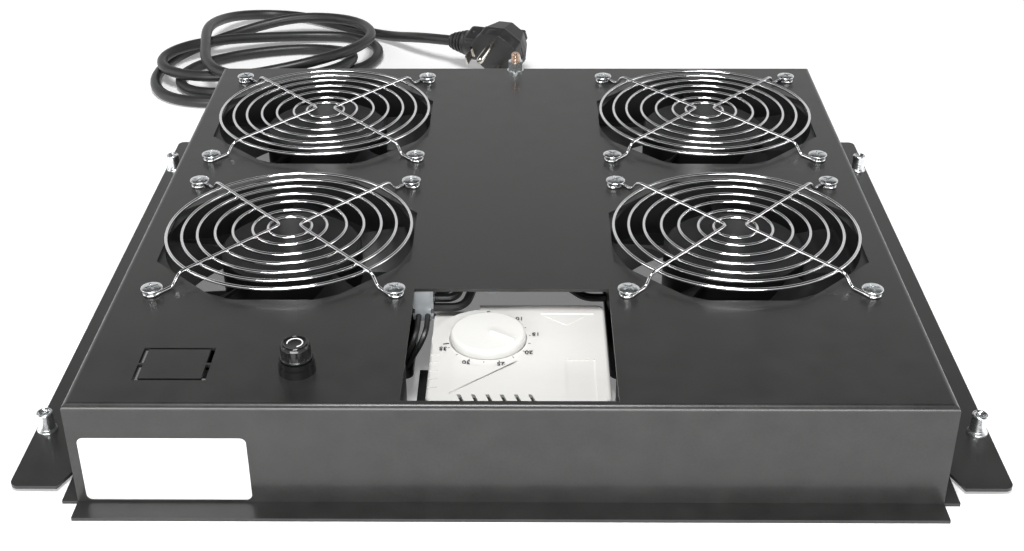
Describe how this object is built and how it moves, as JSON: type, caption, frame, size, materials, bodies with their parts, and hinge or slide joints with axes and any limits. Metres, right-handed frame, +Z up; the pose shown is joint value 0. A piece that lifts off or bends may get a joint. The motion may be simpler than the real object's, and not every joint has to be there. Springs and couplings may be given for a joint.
{
  "type": "rack fan tray",
  "caption": "Black roof-mounted rack fan tray with axial fans under chromed wire guards, a thermostat in a square window, a fuse holder, an earth stud and a coiled mains lead with plug.",
  "frame": {"origin": "middle of the tray on the plane of its foot flanges", "axes": "+Z up, +X to the right and +Y to the rear, seen from the thermostat's side"},
  "size_m": [0.4455, 0.575, 0.0613],
  "materials": {
    "powder_coat": "satin black, fine texture",
    "fan_casting": "satin black paint on cast metal",
    "fan_plastic": "black moulding",
    "bright_wire": "bright plated wire",
    "zinc": "zinc plated",
    "motor_steel": "laminated and ground steel",
    "bearing_bronze": "sintered bronze",
    "copper": "copper coloured plating",
    "bracket_black": "satin black",
    "grey_moulding": "light grey moulding",
    "dial_moulding": "light grey moulding",
    "clear_moulding": "milky clear moulding",
    "tinned_brass": "brass",
    "black_moulding": "glossy black moulding",
    "fuse_glass": "clear glass",
    "black_rubber": "black flexible sheath",
    "nylon": "natural nylon",
    "nickel": "nickel plated",
    "label_white": "plain sticker"
  },
  "bodies": {
    "tray": {"housing_pan": "powder_coat", "wing_left": "powder_coat", "wing_right": "powder_coat", "rivet_nuts": "zinc", "guard_screws": "zinc", "fan_bearings": "bearing_bronze", "thermostat_bracket": "bracket_black", "thermostat_base": "grey_moulding", "thermostat_cover": "grey_moulding", "thermostat_switch": "black_moulding", "thermostat_bimetal": "tinned_brass", "thermostat_screws": "zinc", "fuse_holder_body": "black_moulding", "fuse_holder_nut": "black_moulding", "fuse_solder_tags": "tinned_brass", "earth_stud": "copper", "earth_washers": "zinc", "earth_nuts": "zinc", "terminal_strip": "clear_moulding", "terminal_clamps": "tinned_brass", "splice_cap": "clear_moulding", "fan_leads": "black_rubber", "mains_tail": "black_rubber", "fuse_leads": "black_rubber", "thermostat_lead": "black_rubber", "earth_lead": "black_rubber", "tie_mounts": "nylon", "cable_ties": "nylon", "strain_relief": "black_rubber", "mains_cord_exit_run": "black_rubber", "mains_cord_plug_run": "black_rubber", "mains_cord_coil": "black_rubber", "plug_body": "black_rubber", "plug_pins": "nickel", "plug_earth_clips": "nickel", "front_label": "label_white", "fan_frame_front_left": "fan_casting", "fan_stator_front_left": "motor_steel", "finger_guard_front_left": "bright_wire", "fan_frame_front_right": "fan_casting", "fan_stator_front_right": "motor_steel", "finger_guard_front_right": "bright_wire", "fan_frame_rear_left": "fan_casting", "fan_stator_rear_left": "motor_steel", "finger_guard_rear_left": "bright_wire", "fan_frame_rear_right": "fan_casting", "fan_stator_rear_right": "motor_steel", "finger_guard_rear_right": "bright_wire"},
    "rotor_front_left": {"fan_impeller_front_left": "fan_plastic", "fan_shaft_front_left": "motor_steel"},
    "rotor_front_right": {"fan_impeller_front_right": "fan_plastic", "fan_shaft_front_right": "motor_steel"},
    "rotor_rear_left": {"fan_impeller_rear_left": "fan_plastic", "fan_shaft_rear_left": "motor_steel"},
    "rotor_rear_right": {"fan_impeller_rear_right": "fan_plastic", "fan_shaft_rear_right": "motor_steel"},
    "dial": {"thermostat_dial": "dial_moulding"},
    "fuse_carrier": {"fuse_link_glass": "fuse_glass", "fuse_link_ends": "nickel"},
    "fuse_cap_body": {"fuse_cap": "black_moulding"}
  },
  "joints": [
    {"name": "fan_spin_front_left", "type": "hinge", "parent": "tray", "child": "rotor_front_left", "pos_m": [-0.103, -0.0365, 0.03], "axis": [0, 0, 1], "continuous": true},
    {"name": "fan_spin_front_right", "type": "hinge", "parent": "tray", "child": "rotor_front_right", "pos_m": [0.103, -0.0365, 0.03], "axis": [0, 0, 1], "continuous": true},
    {"name": "fan_spin_rear_left", "type": "hinge", "parent": "tray", "child": "rotor_rear_left", "pos_m": [-0.103, 0.0985, 0.03], "axis": [0, 0, 1], "continuous": true},
    {"name": "fan_spin_rear_right", "type": "hinge", "parent": "tray", "child": "rotor_rear_right", "pos_m": [0.103, 0.0985, 0.03], "axis": [0, 0, 1], "continuous": true},
    {"name": "dial_turn", "type": "hinge", "parent": "tray", "child": "dial", "pos_m": [-0.0098, -0.1057, 0.038], "axis": [0, 0, 1], "range_deg": [-140, 125]},
    {"name": "fuse_pull", "type": "slide", "parent": "tray", "child": "fuse_carrier", "axis": [0, 0, 1], "range_m": [0, 0.035]},
    {"name": "fuse_cap_turn", "type": "hinge", "parent": "fuse_carrier", "child": "fuse_cap_body", "pos_m": [-0.0845, -0.148, 0.055], "axis": [0, 0, 1], "range_deg": [0, 60]}
  ]
}
